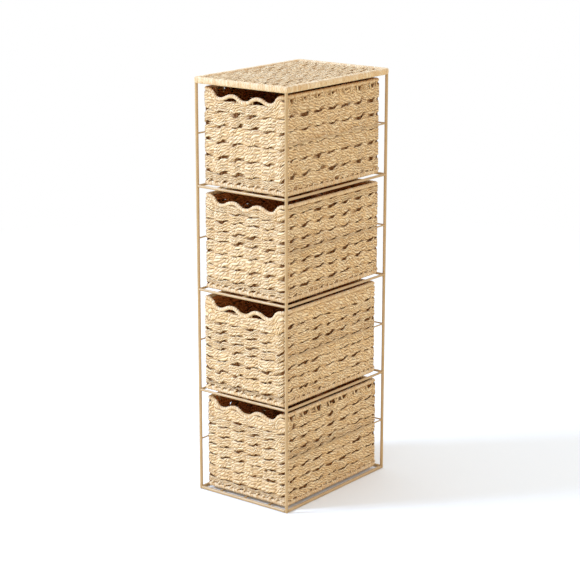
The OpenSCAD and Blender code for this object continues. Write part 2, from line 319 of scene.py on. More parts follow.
@dataclass(frozen=True)
class WrappedRopeFinish:
    """Paper cord wound close round a wire. The mesh has the turns, this the fibres and each turn's tone, with
    painted shade in the grooves between turns and on faces inside the basket.
    """

    name: str = "paper_rope_wrap"
    light: Triple = linear(250, 231, 204)
    mid: Triple = linear(230, 198, 158)
    # The dark colour marks the fibres, and is painted shade in the grooves between turns; the next is warm
    # painted shade for faces inside the basket
    dark: Triple = linear(160, 124, 84)
    hollow_shade: Triple = linear(208, 134, 80)
    roughness: float = 0.7
    specular: float = 0.35
    relief: float = 0.6 * MM
    relief_strength: float = 0.8
    patch_scale: float = 120.0
    patch_share: float = 0.6
    fibre_scale: float = 5.0
    fibre_dark: float = 0.5
    fibre_relief: float = 0.5
    # How much painted shade the grooves between turns take
    groove_shade: float = 0.5

    def material(self) -> bpy.types.Material:
        """Makes the finish.

        Returns:
            The material. It reads the attribute of painted shade for inner faces, and the cord's UV map.
        """
        bench = new_material(self.name)
        around, turns = bench.cord()
        climb = bench.maths("SUBTRACT", turns, around)
        ridge = bench.wave(climb)
        count = bench.maths("FLOOR", climb)
        turn = bench.add("TexWhiteNoise", {"W": count}, noise_dimensions="1D").outputs["Value"]
        lined = bench.combine(X=bench.times(climb, self.fibre_scale), Y=bench.times(around, self.fibre_scale))
        fibre = bench.noise(lined, 1.0, 3.0)
        patch = bench.noise(bench.place(), self.patch_scale, 2.0)
        shade = bench.weigh(patch, self.patch_share, turn)
        colour = bench.mix(bench.spread(shade, 0.25, 0.7), self.mid, self.light)
        colour = bench.mix(bench.spread(fibre, 0.40, 0.64, self.fibre_dark, 0.0), colour, self.dark)
        # Painted shade in the grooves between turns
        colour = bench.mix(bench.spread(ridge, 0.0, 0.4, self.groove_shade, 0.0), colour, self.dark)
        # Warm painted shade on faces inside the basket
        colour = bench.mix(bench.spread(bench.attribute("inside"), 0.3, 0.7), colour, self.hollow_shade)
        height = bench.plus(ridge, bench.times(fibre, self.fibre_relief))
        return bench.shade(colour, self.roughness, height, self.relief_strength, self.relief, self.specular)


@dataclass(frozen=True)
class PowderCoatFinish:
    """Powder coat on steel wire: even colour, a fine orange-peel surface and a soft sheen."""

    name: str
    colour: Triple
    worn: Triple
    smooth: float = 0.31
    rough: float = 0.44
    cloud_scale: float = 35.0
    peel_scale: float = 900.0
    peel_strength: float = 0.25
    peel_depth: float = 0.2 * MM

    def material(self) -> bpy.types.Material:
        """Makes the finish.

        Returns:
            The material, on Object coordinates.
        """
        bench = new_material(self.name)
        place = bench.place()
        cloud = bench.noise(place, self.cloud_scale, 3.0)
        peel = bench.noise(place, self.peel_scale, 2.0)
        colour = bench.mix(bench.spread(cloud, 0.35, 0.7, 0.0, 0.5), self.colour, self.worn)
        roughness = bench.spread(cloud, 0.3, 0.7, self.smooth, self.rough)
        return bench.shade(colour, roughness, peel, self.peel_strength, self.peel_depth)


# -------- cords swept into a mesh


@dataclass(frozen=True)
class Rope:
    """A rope's material, and the name of its slot in the record, which is kept but not read."""

    finish: bpy.types.Material
    slot: Slot


class CordSet:
    """Cords swept through rings and gathered into one closed mesh."""

    def __init__(self) -> None:
        """Starts with no cords."""
        self.points: list[Array] = []
        self.quads: list[Array] = []
        self.quad_uv: list[Array] = []
        self.caps: list[list[int]] = []
        self.tone: list[Array] = []
        self.inside: list[Array] = []
        self.count = 0

    def sweep(
        self,
        rings: Array,
        along: Array,
        tone: float = 0.5,
        inside: Array | float = 0.0,
        closed: bool = False,
    ) -> None:
        """Adds one cord.

        Args:
            rings: Points of each ring in turn, of shape (rings, sides, 3). Column 0 is the seam.
            along: The turns of the cord's folds or winding up to each ring.
            tone: The cord's tone.
            inside: How much painted shade each point takes, 0 to 1: dark in the weave's pits, warm brown on
                faces inside the basket.
            closed: Whether the last ring joins the first.
        """
        n, sides = rings.shape[:2]
        middle = rings.mean(axis=1)
        turn = np.cross(rings[0, 0] - middle[0], rings[0, 1] - middle[0])
        flip = float(turn @ (middle[1] - middle[0])) < 0
        spans = n if closed else n - 1
        i = np.repeat(np.arange(spans), sides)
        j = np.tile(np.arange(sides), spans)
        k, j2 = (i + 1) % n, (j + 1) % sides
        quad = np.stack([i * sides + j, i * sides + j2, k * sides + j2, k * sides + j], axis=1)
        ends = np.append(along, along[-1] + along[1] - along[0])
        around = np.stack([j, j + 1, j + 1, j], axis=1) / sides
        uv = np.stack([around, ends[np.stack([i, i, i + 1, i + 1], axis=1)]], axis=2)
        if flip:
            quad, uv = quad[:, ::-1], uv[:, ::-1]
        self.quads.append(quad + self.count)
        self.quad_uv.append(uv)
        if not closed:
            first = list(range(self.count, self.count + sides))
            last = list(range(self.count + (n - 1) * sides, self.count + n * sides))
            self.caps += [first, last[::-1]] if flip else [first[::-1], last]
        self.points.append(rings.reshape(-1, 3))
        for kept, value in ((self.tone, tone), (self.inside, inside)):
            kept.append(np.broadcast_to(np.asarray(value, float), (n, sides)).reshape(-1))
        self.count += n * sides

    def mesh(self, name: str, finish: bpy.types.Material) -> bpy.types.Mesh:
        """Makes the mesh.

        Args:
            name: The mesh's name.
            finish: Its material.

        Returns:
            The new mesh. The cords are smooth, and their end caps flat.
        """
        quads = np.concatenate(self.quads)
        mesh = bpy.data.meshes.new(name)
        mesh.from_pydata(np.concatenate(self.points).tolist(), [], quads.tolist() + self.caps)
        flat = np.zeros(len(mesh.loops) * 2, np.float32)
        uv = np.concatenate(self.quad_uv).reshape(-1)
        flat[: len(uv)] = uv
        mesh.uv_layers.new(name="cord").data.foreach_set("uv", flat)
        for label, kept in (("tone", self.tone), ("inside", self.inside)):
            attribute = mesh.attributes.new(label, "FLOAT", "POINT")
            attribute.data.foreach_set("value", np.concatenate(kept).astype(np.float32))
        smooth = np.arange(len(mesh.polygons)) < len(quads)
        mesh.polygons.foreach_set("use_smooth", smooth)
        mesh.materials.append(finish)
        mesh.update()
        return mesh

    def keep(self, name: str, rope: Rope, body: str, *nodes: str) -> None:
        """Makes the piece, at the origin, and hangs it on its body.

        Args:
            name: The piece's name.
            rope: The rope, whose material the piece takes.
            body: The body that it moves with.
            *nodes: The CAD nodes that it stands for.
        """
        obj = bpy.data.objects.new(name, self.mesh(name, rope.finish))
        bpy.context.scene.collection.objects.link(obj)
        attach(obj, body)
        if nodes:
            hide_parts(*nodes)
        log.info("%s: %d faces", name, len(obj.data.polygons))


def section(
    centre: Array,
    up: Array,
    out: Array,
    high: Array | float,
    deep: Array | float,
    sides: int,
    squareness: float = 1.0,
) -> Array:
    """Rings of an oval section along a line. The seam is on the inner side.

    Args:
        centre: The line's points, (n, 3).
        up: The section's first axis, one or one at each point.
        out: The section's second axis, one or one at each point.
        high: Half the section's size along up, one value, or one for each point of each ring.
        deep: Half its size along out, likewise.
        sides: Points in a ring.
        squareness: 1 for an oval, less for a fuller section.

    Returns:
        The rings, (n, sides, 3).
    """
    angle = -math.pi / 2 + 2 * math.pi * np.arange(sides) / sides
    c, s = (np.sign(v) * np.abs(v) ** squareness for v in (np.cos(angle), np.sin(angle)))
    up, out = np.atleast_2d(up)[:, None], np.atleast_2d(out)[:, None]
    rise, reach = (np.atleast_2d(size)[..., None] for size in (high * c, deep * s))
    return centre[:, None] + up * rise + out * reach


def outwards(rings: Array, centre: Array, out: Array) -> Array:
    """How far each point of each ring, (n, sides), lies out from the ring's middle."""
    return ((rings - centre[:, None]) * np.atleast_2d(out)[:, None]).sum(axis=2)


def swell(turns: Array, sides: int, starts: int, depth: Array | float, power: float) -> Array:
    """How far a cord or its winding swells at each point of each ring.

    Args:
        turns: The grooves' count at each ring's seam.
        sides: Points in a ring.
        starts: Grooves met on a walk round a ring, below 0 where they climb the other way.
        depth: Depth of the groove as a share of the radius, one value or one for each ring.
        power: How full the crests are: the less, the fuller.

    Returns:
        A factor for the radius, (n, sides), 1 on a crest.
    """
    angle = starts * np.arange(sides) / sides
    wave = np.abs(np.sin(math.pi * (turns[:, None] + angle)))
    return 1 - np.reshape(depth, (-1, 1)) * (1 - wave**power)


def walk(line: Array, closed: bool) -> tuple[Array, float]:
    """The distance of each of a line's points from the first, and its whole length."""
    along = np.concatenate([[0], np.cumsum(np.linalg.norm(np.diff(line, axis=0), axis=1))])
    return along, along[-1] + (np.linalg.norm(line[0] - line[-1]) if closed else 0)


def unit(vectors: Array) -> Array:
    """The same directions, each of length 1."""
    return vectors / np.linalg.norm(vectors, axis=1)[:, None]


def spaced(count: int, pitch: float) -> Array:
    """Even places about a middle."""
    return (np.arange(count) - (count - 1) / 2) * pitch


@dataclass(frozen=True)
class Winding:
    """Cord wound close round a line. High and deep are half the section's sizes."""

    high: float
    deep: float
    pitch: float = 5.4 * MM
    sides: int = 10
    groove: float = 0.16
    squareness: float = 1.0
    fullness: float = 0.6

    def rings(self, line: Array, up: Array, out: Array, turns: Array) -> Array:
        """The rings, (n, sides, 3), from the line, the section's axes and the turns up to each point."""
        thick = swell(turns, self.sides, -1, self.groove, self.fullness)
        return section(line, up, out, self.high * thick, self.deep * thick, self.sides, self.squareness)


# -------- the line round a basket


@dataclass(frozen=True)
class Loop:
    """A rounded rectangle that is walked from its front left corner, left to right as seen from outside."""

    half_x: float
    half_y: float
    bend: float

    @property
    def half_bend(self) -> float:
        """Length of half a corner's bend."""
        return math.pi / 4 * self.bend

    def side_length(self, wall: Wall) -> float:
        """Length from one corner's middle to the next, along one wall."""
        return 2 * ((self.half_x if wall.wide else self.half_y) - self.bend) + 2 * self.half_bend

    def start(self, wall: Wall) -> float:
        """Distance from the front left corner to the start of a wall."""
        return sum(self.side_length(w) for w in Wall if w.value < wall.value)

    def length(self) -> float:
        """Length of the whole loop."""
        return sum(self.side_length(w) for w in Wall)

    def samples(self, wall: Wall, step: float, bends: int = 3) -> Array:
        """Distances along one wall, closer together in its bends.

        Args:
            wall: The wall.
            step: Distance between samples on the straight.
            bends: Spans in each half bend.

        Returns:
            Distances from the front left corner.
        """
        stop = self.side_length(wall)
        straight = stop - 2 * self.half_bend
        parts = [
            np.linspace(0, self.half_bend, bends + 1)[:-1],
            np.linspace(self.half_bend, stop - self.half_bend, max(2, round(straight / step)) + 1),
            np.linspace(stop - self.half_bend, stop, bends + 1)[1:],
        ]
        return self.start(wall) + np.concatenate(parts)

    def place(self, s: Array) -> tuple[Array, Array]:
        """Where the line is, at height 0.

        Args:
            s: Distances from the front left corner.

        Returns:
            Points (n, 3) and outward directions (n, 3).
        """
        s = np.mod(s, self.length())
        points, out = np.zeros((len(s), 3)), np.zeros((len(s), 3))
        for wall in Wall:
            start, total = self.start(wall), self.side_length(wall)
            here = (s >= start - SAME) & (s <= start + total + SAME)
            t = s[here] - start
            long_half, away = (self.half_x, self.half_y) if wall.wide else (self.half_y, self.half_x)
            straight = long_half - self.bend
            # The line turns only in the bends, away from the wall's own direction
            turn = np.minimum(t - self.half_bend, 0) + np.maximum(t - total + self.half_bend, 0)
            sine, cosine = np.sin(turn / self.bend)[:, None], np.cos(turn / self.bend)[:, None]
            flat = np.clip(t - self.half_bend - straight, -straight, straight)[:, None]
            ahead, outward = WALL_AXES[wall]
            reach = away - self.bend + self.bend * cosine
            points[here] = (flat + self.bend * sine) * ahead + reach * outward
            out[here] = sine * ahead + cosine * outward
        return points, out


# -------- twined weave


@dataclass(frozen=True)
class LaidCord:
    """A cord's fold count, z, n, half height, half depth and painted shade along the weave, and its tone."""

    turns: Array
    z: Array
    n: Array
    high: Array
    deep: float
    hidden_shade: Array
    tone: float

    def part(self, piece: slice) -> "LaidCord":
        """The same cord along a part of the weave."""
        turns, z, n, high, hidden_shade = (v[piece] for v in (self.turns, self.z, self.n, self.high, self.hidden_shade))
        return LaidCord(turns, z, n, high, self.deep, hidden_shade, self.tone)


@dataclass
class Twining:
    """Two bundles of cords that twist round each stake in turn, one in front and one behind.

    Lengths are in metres. z is across the courses, and n is square to the weave.
    """

    seed: int
    reach: float = 2.3 * MM
    cord_deep: float = 2.3 * MM
    cord_swell: float = 1.2
    crossing: float = 3.8
    climb: float = 3.0
    dwell: float = 1.6
    wander: float = 0.3 * MM
    lay: float = 34 * MM
    groove: float = 0.34
    fullness: float = 0.8
    sides: int = 8
    squareness: float = 0.85
    back_spread: float = 0.6 * MM
    # Painted shade: how dark a cord behind a stake is painted, and at what depth the pits' painted shade
    # starts and over what depth it grows to full
    back_shade: float = 0.55
    pit_shade_start: float = 0.4 * MM
    pit_shade_depth: float = 2.6 * MM
    wave_lengths: tuple[float, float] = (60 * MM, 20 * MM)
    hole_sizes: tuple[float, float] = (0.2, 1.45)
    cord_sizes: tuple[float, float] = (0.86, 1.06)

    def __post_init__(self) -> None:
        """Starts the seeded random numbers."""
        self.random = np.random.default_rng(self.seed)

    def ripple(self, s: Array, size: float, length: float) -> Array:
        """A small smooth wandering of a cord, with no seam round a closed loop.

        Args:
            s: Distances along the cord.
            size: How far it wanders.
            length: Length of the loop.

        Returns:
            The offset at each distance.
        """
        total = np.zeros_like(s)
        longest, shortest = self.wave_lengths
        for _ in range(3):
            waves = self.random.integers(int(length / longest), int(length / shortest))
            height = self.random.normal(0, size / 2)
            total += height * np.sin(2 * math.pi * waves * s / length + self.random.uniform(0, FULL_TURN))
        return total

    def hole(self, s: Array, stakes: Array, length: float) -> Array:
        """How big the hole at each stake is, as a share of the usual one."""
        return np.interp(s, stakes, self.random.uniform(*self.hole_sizes, len(stakes)), period=length)

    def course(
        self,
        s: Array,
        phase: Array,
        edges: tuple[Array | float, Array | float],
        holes: tuple[Array | float, Array | float],
        cords: int,
        length: float,
    ) -> list[LaidCord]:
        """Lays the cords of one course.

        Args:
            s: Distances along the weave.
            phase: The twist's angle, a whole number of half turns at each stake.
            edges: The course's lower and upper edge.
            holes: Height of the holes at the lower and at the upper edge.
            cords: Cords in each bundle.
            length: Length of the loop, for the wandering.

        Returns:
            The cords.
        """
        low, high = edges
        bundle = (high - low) - (holes[0] + holes[1]) / 2
        middle = (low + high) / 2 + (holes[0] - holes[1]) / 4
        laid = []
        for turn in (0, 1):
            angle = phase + turn * math.pi
            n = self.reach * np.tanh(self.dwell * np.cos(angle)) / math.tanh(self.dwell)
            # A cord climbs slowly in front of a stake, and leaves the edge late behind it
            late = self.crossing * np.clip(1 + self.ripple(s, 0.5, length), 0.4, 1.6)
            sharp = np.where(np.cos(angle) > 0, self.climb, late)
            sway = np.tanh(sharp * np.sin(angle)) / np.tanh(sharp)
            room = np.where(sway > 0, high - bundle / 2 - middle, middle - low - bundle / 2)
            # Behind a stake the cords lie wider apart, and close the holes from inside
            behind = np.clip(-np.cos(angle) * 1.4, 0, 1) ** 2
            tall = bundle + behind * ((holes[0] + holes[1]) / 2 + self.back_spread)
            for cord in range(cords):
                offset = (cord - (cords - 1) / 2) * tall / cords
                half = tall / (2 * cords) * self.cord_swell
                laid.append(
                    LaidCord(
                        turns=FOLDS * s / self.lay + self.ripple(s, 0.5, length) + self.random.uniform(0, 60),
                        z=middle + sway * room + offset + self.ripple(s, self.wander, length),
                        n=n + self.ripple(s, 0.8 * self.wander, length),
                        high=half * (1 + self.ripple(s, 0.10, length)),
                        deep=self.cord_deep * self.random.uniform(*self.cord_sizes),
                        # Painted shade where it lies behind a stake and shows only at the bottom of a pit
                        hidden_shade=self.back_shade * np.clip(-np.cos(angle), 0, 1) ** 2.2,
                        tone=self.random.uniform(0.0, 1.0),
                    )
                )
        return laid

    def rings(self, cord: LaidCord, centre: Array, up: Array, out: Array, hand: int) -> Array:
        """The rings of a laid cord. Its folds are shallower where it lies deep in the weave.

        Args:
            cord: The cord.
            centre: Its middle line.
            up: The direction across the courses.
            out: The direction square to the weave.
            hand: 1 where the folds climb to the right, -1 where they fall.

        Returns:
            The rings, (n, sides, 3).
        """
        depth = self.groove * np.clip(0.65 + 0.35 * cord.n / self.reach, 0.3, 1.0)
        thick = swell(hand * cord.turns, self.sides, FOLDS, depth, self.fullness)
        high, deep = cord.high[:, None] * thick, cord.deep * thick
        return section(centre, up, out, high, deep, self.sides, self.squareness)

    def pit_shade(self, depth: Array) -> Array:
        """How much painted shade a point takes, 0 to 1, at a depth behind the weave's middle."""
        return np.clip((depth - self.pit_shade_start) / self.pit_shade_depth, 0, 1)


# -------- baskets


@dataclass
class WovenBasket:
    """One basket drawer. Sizes are in metres and repeat the part's source. Rows are in millimetres."""

    number: int
    weave: Rope
    wrap: Rope
    base_z: float
    front_rows: tuple[float, ...]
    side_rows: tuple[float, ...]
    crest_fit: RimFit
    side_fit: RimFit
    sag: float
    lift: float
    forward: float = 0.0
    front_hole: float = 4.7 * MM
    side_hole: float = 5.0 * MM
    cords: int = 3
    tight_row: int = -1
    sleeve: float = 5.0 * MM
    # How much painted pit shade the stake sleeves take
    sleeve_shade: float = 0.6
    width: float = 198 * MM
    depth: float = 296 * MM
    height: float = 184 * MM
    wall: float = 7 * MM
    wire_bend: float = 5 * MM
    binding: float = 9 * MM
    side_rim: float = 8 * MM
    front_rim: float = 6 * MM
    scallops: int = 3
    scallop_rise: float = 8 * MM
    front_dip: float = 14 * MM
    front_stakes: int = 4
    front_pitch: float = 37.5 * MM
    side_stakes: int = 7
    side_pitch: float = 42.5 * MM
    corner_blend: float = 26 * MM
    crest_fill: float = 0.72
    band_gap: float = 0.8 * MM
    band_hole: float = 1.5 * MM
    crest_hole: float = 0.5 * MM
    open_hole: float = 8 * MM
    filled_hole: float = 1 * MM
    tight_hole: float = 0.6 * MM
    rope_cover: float = 0.9 * MM
    ring_step: float = 0.85 * MM
    band_step: float = 0.9 * MM
    wall_step: float = 3.4 * MM
    row_wander: float = 0.6 * MM
    twist_wander: float = 0.35
    sleeve_deep: float = 2.5 * MM
    sleeve_turn: float = 8 * MM
    sleeve_back: float = 0.5 * MM
    bottom_gap: float = 0.3 * MM
    bottom_courses: int = 13
    bottom_cords: int = 3
    bottom_hole: float = 4 * MM
    # How much painted shade the bottom's upper side takes
    bottom_painted_shade: float = 0.88
    lash_pitch: float = 16 * MM
    lash_run: float = 6.5 * MM
    lash_sink: float = 3 * MM
    lash_rise: float = 7 * MM
    lash_high: float = 2.2 * MM
    lash_deep: float = 1.3 * MM
    lace_pitch: float = 21.2 * MM
    lace_lean: float = 5 * MM
    lace_drop: float = 3 * MM
    lace_rise: float = 7.5 * MM
    lace_out: float = 4.3 * MM
    lace_high: float = 2.1 * MM
    lace_deep: float = 1.5 * MM
    lace_turn: float = 9 * MM
    tones: tuple[float, float] = (0.3, 1.0)

    def __post_init__(self) -> None:
        """Works out the wire line, the stakes and the heights."""
        self.loop = Loop(self.width / 2 - self.wall / 2, self.depth / 2 - self.wall / 2, self.wire_bend)
        self.body = f"drawer_{self.number}"
        self.straight_x = self.loop.half_x - self.wire_bend
        self.dip_z = self.height - self.side_rim / 2 - self.front_dip
        self.rim_z = self.height - self.side_rim / 2 + self.lift
        self.random = np.random.default_rng(70 + self.number)
        self.stakes = self.stake_places()

    def stake_places(self) -> Array:
        """Where the stakes and corner uprights stand.

        Returns:
            Their distances round the loop.
        """
        front, side = spaced(self.front_stakes, self.front_pitch), spaced(self.side_stakes, self.side_pitch)
        places = []
        for wall in Wall:
            start = self.loop.start(wall)
            places += [start, *(start + self.loop.side_length(wall) / 2 + (front if wall.wide else side))]
        return np.array(places)

    def to_world(self, points: Array) -> Array:
        """Moves points from the basket's own frame to where it stands."""
        return points + np.array([0.0, -self.forward, self.base_z])

    def keep(self, cords: CordSet, rope: Rope, name: str, *nodes: str) -> None:
        """Hangs a piece on the drawer's body, for the CAD nodes it stands for, named without the body."""
        cords.keep(f"{self.body}_{name}", rope, self.body, *(f"{self.body}_{node}" for node in nodes))

    def scallop_height(self, x: Array) -> Array:
        """Height of the front rim's line.

        Args:
            x: Distances from the basket's middle.

        Returns:
            The heights, made of S-curves of two equal arcs.
        """
        run = self.straight_x / self.scallops
        t = np.clip(x + self.straight_x, 0, 2 * self.straight_x)
        last = 2 * self.scallops - 1
        i = np.minimum(np.floor(t / run + 1e-6), last)
        u = np.where(i % 2 == 0, (i + 1) * run - t, t - i * run)
        middle = (i == self.scallops - 1) | (i == self.scallops)
        sag = np.where(middle, self.sag, 0.0)
        rise = np.where((i == 0) | (i == last), self.rim_z - self.dip_z, self.scallop_rise) + sag
        bend = run / (2 * np.sin(2 * np.arctan(rise / run)))
        lower = bend - np.sqrt(np.maximum(bend**2 - u**2, 0))
        upper = rise - bend + np.sqrt(np.maximum(bend**2 - (run - u) ** 2, 0))
        return self.dip_z - sag + np.where(u <= run / 2, lower, upper)

    def front_share(self, s: Array) -> Array:
        """How much a place belongs to the front wall.

        Args:
            s: Distances along the loop.

        Returns:
            1 along the front wall, 0 along the others, and a smooth change at the front corners.
        """
        length = self.loop.length()
        middle = self.loop.side_length(Wall.FRONT) / 2
        away = np.abs(np.mod(s - middle + length / 2, length) - length / 2)
        t = np.clip((middle + self.corner_blend / 2 - away) / self.corner_blend, 0, 1)
        return t * t * (3 - 2 * t)

    def shared(self, s: Array, front: Array | float, side: float) -> Array:
        """A measure that is one thing along the front and another along the other walls."""
        share = self.front_share(s)
        return share * front + (1 - share) * side

    def weave_top(self, s: Array) -> Array:
        """The weave's upper edge.

        Args:
            s: Distances along the loop.

        Returns:
            The edge's height at each place.
        """
        side_top = self.rim_z - self.side_rim / 2
        x = self.loop.place(s)[0][:, 0]
        under = self.scallop_height(x) - self.front_rim / 2
        dip = self.dip_z - self.front_rim / 2
        if self.crest_fit is RimFit.FILLED:
            front_top = np.minimum(under, dip + self.crest_fill * self.scallop_rise)
        else:
            front_top = np.minimum(under + 0.5 * MM, dip + 0.4 * MM)
        corner = np.abs(x) > self.straight_x - self.straight_x / self.scallops
        return self.shared(s, np.where(corner, np.minimum(under, side_top), front_top), side_top)

    def rows_at(self, s: Array) -> Array:
        """Edges of the courses, (edges, places), from the binding up to the rims."""
        rows = [self.shared(s, front, side) * MM for front, side in zip(self.front_rows, self.side_rows)]
        return np.array([np.full_like(s, self.binding + self.band_gap), *rows, self.weave_top(s)])

    def holes_at(self, s: Array, twining: Twining) -> list[Array]:
        """Heights of the holes at each edge of the courses.

        Args:
            s: Distances along the loop.
            twining: The weave, which gives each hole its own size.

        Returns:
            One array for each edge, from the binding up to the rims.
        """
        sizes = [(self.front_hole, self.side_hole)] * (len(self.front_rows) + 2)
        sizes[0] = (self.band_hole, self.band_hole)
        sizes[-1] = (self.crest_hole, self.open_hole if self.side_fit is RimFit.OPEN else self.filled_hole)
        if self.tight_row > 0:
            sizes[self.tight_row] = (self.front_hole, self.tight_hole)
        length = self.loop.length()
        return [self.shared(s, *size) * twining.hole(s, self.stakes, length) for size in sizes]

    def tubes(self, cords: CordSet, s: Array, laid: list[LaidCord], twining: Twining, hand: int) -> None:
        """Sweeps laid cords along the wire line.

        Args:
            cords: The set that takes them.
            s: Distances along the loop.
            laid: The cords.
            twining: The weave that laid them.
            hand: 1 where the plies climb to the right, -1 where they fall.
        """
        line, out = self.loop.place(s)
        for cord in laid:
            # No cord goes in past the middle of the wire's bends
            n = np.maximum(cord.n, -self.wire_bend + 0.3 * MM)[:, None]
            centre = line + out * n + Z_AXIS * cord.z[:, None]
            rings = twining.rings(cord, centre, Z_AXIS, out, hand)
            away = outwards(rings, centre, out)
            # Painted shade: in the weave's pits, on faces that look into the basket, and where the cord lies
            # behind a stake
            inward = np.clip(-away / cord.deep * 2 - 0.7, 0, 1)
            inside = np.maximum(np.maximum(twining.pit_shade(-away - n), inward), cord.hidden_shade[:, None])
            cords.sweep(self.to_world(rings), hand * cord.turns, cord.tone, inside)

    def weave_walls(self) -> None:
        """Weaves the four walls, each a piece of its own that meets the next at a corner's middle."""
        twining = Twining(seed=200 + self.number)
        length = self.loop.length()
        dense = [self.loop.samples(wall, self.wall_step) for wall in Wall]
        sets = [CordSet() for _ in Wall]
        every = np.concatenate(dense)
        cuts = np.cumsum([0] + [len(places) for places in dense])
        edges = self.rows_at(every)
        edges[1:-1] += np.array([twining.ripple(every, self.row_wander, length) for _ in edges[1:-1]])
        holes = self.holes_at(every, twining)
        stakes = np.append(self.stakes, length)
        phase = np.interp(every, stakes, math.pi * np.arange(len(stakes)))
        last = len(edges) - 2
        for row in range(last + 1):
            twist = phase + math.pi * (row % 2) + twining.ripple(every, self.twist_wander, length)
            # A course makes a little room for the holes below it, and most for those above
            room = 0.3 * holes[row], (2.0 if row == last else 1.7) * holes[row + 1]
            laid = twining.course(every, twist, (edges[row], edges[row + 1]), room, self.cords, length)
            for wall, cords, places, start in zip(Wall, sets, dense, cuts):
                part = [cord.part(slice(start, start + len(places))) for cord in laid]
                self.tubes(cords, places, part, twining, 1 if wall.wide else -1)
        self.wrap_stakes(sets)
        for wall, cords in zip(Wall, sets):
            self.keep(cords, self.weave, f"{wall.name.lower()}_cords", f"{wall.name.lower()}_weave")

    def wrap_stakes(self, sets: list[CordSet]) -> None:
        """Adds the paper wound round each stake, which shows in the gaps of the weave.

        Args:
            sets: The walls' cords. A corner upright goes with the front or the rear.
        """
        for s in self.stakes:
            wall = [w for w in Wall if self.loop.start(w) <= s + SAME][-1]
            at_corner = s - self.loop.start(wall) < SAME
            owner = wall.value - 1 if at_corner and not wall.wide else wall.value
            line, out = self.loop.place(np.array([s]))
            top = float(self.weave_top(np.array([s]))[0]) - self.sleeve_back
            z = np.linspace(self.binding - 1 * MM, top, 20)
            centre = line - out * self.sleeve_back + Z_AXIS * z[:, None]
            rings = section(centre, np.cross(Z_AXIS, out), out, self.sleeve / 2, self.sleeve_deep, 8)
            tone = float(self.random.uniform(*self.tones))
            # The sleeve takes painted pit shade where it shows in the weave's gaps
            sets[owner].sweep(self.to_world(rings), z / self.sleeve_turn, tone, self.sleeve_shade)

    def weave_bottom(self) -> None:
        """Weaves the bottom over the four bottom wires, with cords that run side to side."""
        half_x = self.width / 2 - self.wall - self.bottom_gap
        half_y = self.depth / 2 - self.wall - self.bottom_gap
        twining = Twining(300 + self.number, reach=1.1 * MM, cord_deep=1.4 * MM, sides=6, wander=0.2 * MM)
        x = np.linspace(-half_x, half_x, 56)
        phase = math.pi * (x - spaced(self.front_stakes, self.front_pitch)[0]) / self.front_pitch
        rows = np.linspace(-half_y, half_y, self.bottom_courses + 1)
        holes = self.bottom_hole, self.bottom_hole
        cords = CordSet()
        for row, edges in enumerate(zip(rows, rows[1:])):
            twist = phase + math.pi * (row % 2)
            for cord in twining.course(x, twist, edges, holes, self.bottom_cords, 2 * half_x):
                centre = np.column_stack([x, cord.z, self.binding / 2 + cord.n])
                rings = section(centre, Y_AXIS, Z_AXIS, cord.high[:, None], cord.deep, twining.sides, 0.9)
                # The upper side is inside the basket, and takes the same warm, dark painted shade as the
                # walls' inner faces
                upper = outwards(rings, centre, Z_AXIS) > -self.bottom_gap
                inside = np.where(upper, self.bottom_painted_shade, 0.0)
                cords.sweep(self.to_world(rings), cord.turns, cord.tone, inside)
        self.keep(cords, self.weave, "bottom_cords", "bottom_weave")

    def wobble(self, along: Array, total: float) -> Array:
        """Uneven winding by hand: how far the turns run ahead or lag, with no seam round a loop.

        Args:
            along: Distances along the line.
            total: The line's length.

        Returns:
            The lag at each distance, in turns.
        """
        lag = np.zeros_like(along)
        # Five waves of 22 to 80 mm
        for waves in self.random.integers(max(2, int(total / (80 * MM))), int(total / (22 * MM)), 5):
            start = self.random.uniform(0, FULL_TURN)
            lag += 0.10 * np.sin(2 * math.pi * waves * along / total + start)
        return lag

    def wind(self, line: Array, up: Array, out: Array, winding: Winding, closed: bool) -> CordSet:
        """Winds cord round a line.

        Args:
            line: The line's points, (n, 3).
            up: The section's first axis.
            out: The section's second axis.
            winding: The winding's sizes.
            closed: Whether the line is a loop.

        Returns:
            The winding.
        """
        along, total = walk(line, closed)
        turns = along / total * round(total / winding.pitch) + self.wobble(along, total)
        rings = winding.rings(line, up, out, turns)
        # A band closes round the basket, and its inner half shows inside, over the bottom, with a warm
        # painted shade
        inside = np.where(outwards(rings, line, out) < 0, 1.0, 0.0) if closed else 0.0
        cords = CordSet()
        cords.sweep(self.to_world(rings), turns, 0.5, inside, closed)
        return cords

    def wrap_side_rim(self) -> None:
        """Winds the rim along both sides and the rear, from one front corner bend to the other."""
        start = self.loop.side_length(Wall.FRONT) - self.loop.half_bend
        stop = self.loop.length() + self.loop.half_bend
        line, out = self.loop.place(np.linspace(start, stop, round((stop - start) / self.ring_step)))
        winding = Winding(self.side_rim / 2, self.side_rim / 2)
        cords = self.wind(line + self.rim_z * Z_AXIS, Z_AXIS, out, winding, False)
        self.keep(cords, self.wrap, "side_rim_wrap", "side_rim")

    def wrap_front_rim(self) -> None:
        """Winds the scalloped rim along the front."""
        x = np.linspace(-self.straight_x, self.straight_x, 900)
        z = self.scallop_height(x)
        arc, total = walk(np.column_stack([x, z]), False)
        even = np.linspace(0, total, round(total / self.ring_step))
        x, z = np.interp(even, arc, x), np.interp(even, arc, z)
        slope = np.arctan2(np.gradient(z), np.gradient(x))[:, None]
        points = np.column_stack([x, np.full(len(x), -self.loop.half_y), z])
        winding = Winding(self.front_rim / 2 + self.rope_cover, self.front_rim / 2 + self.rope_cover)
        cords = self.wind(points, Z_AXIS * np.cos(slope) - X_AXIS * np.sin(slope), -Y_AXIS, winding, False)
        self.keep(cords, self.wrap, "front_rim_wrap", "front_rim")

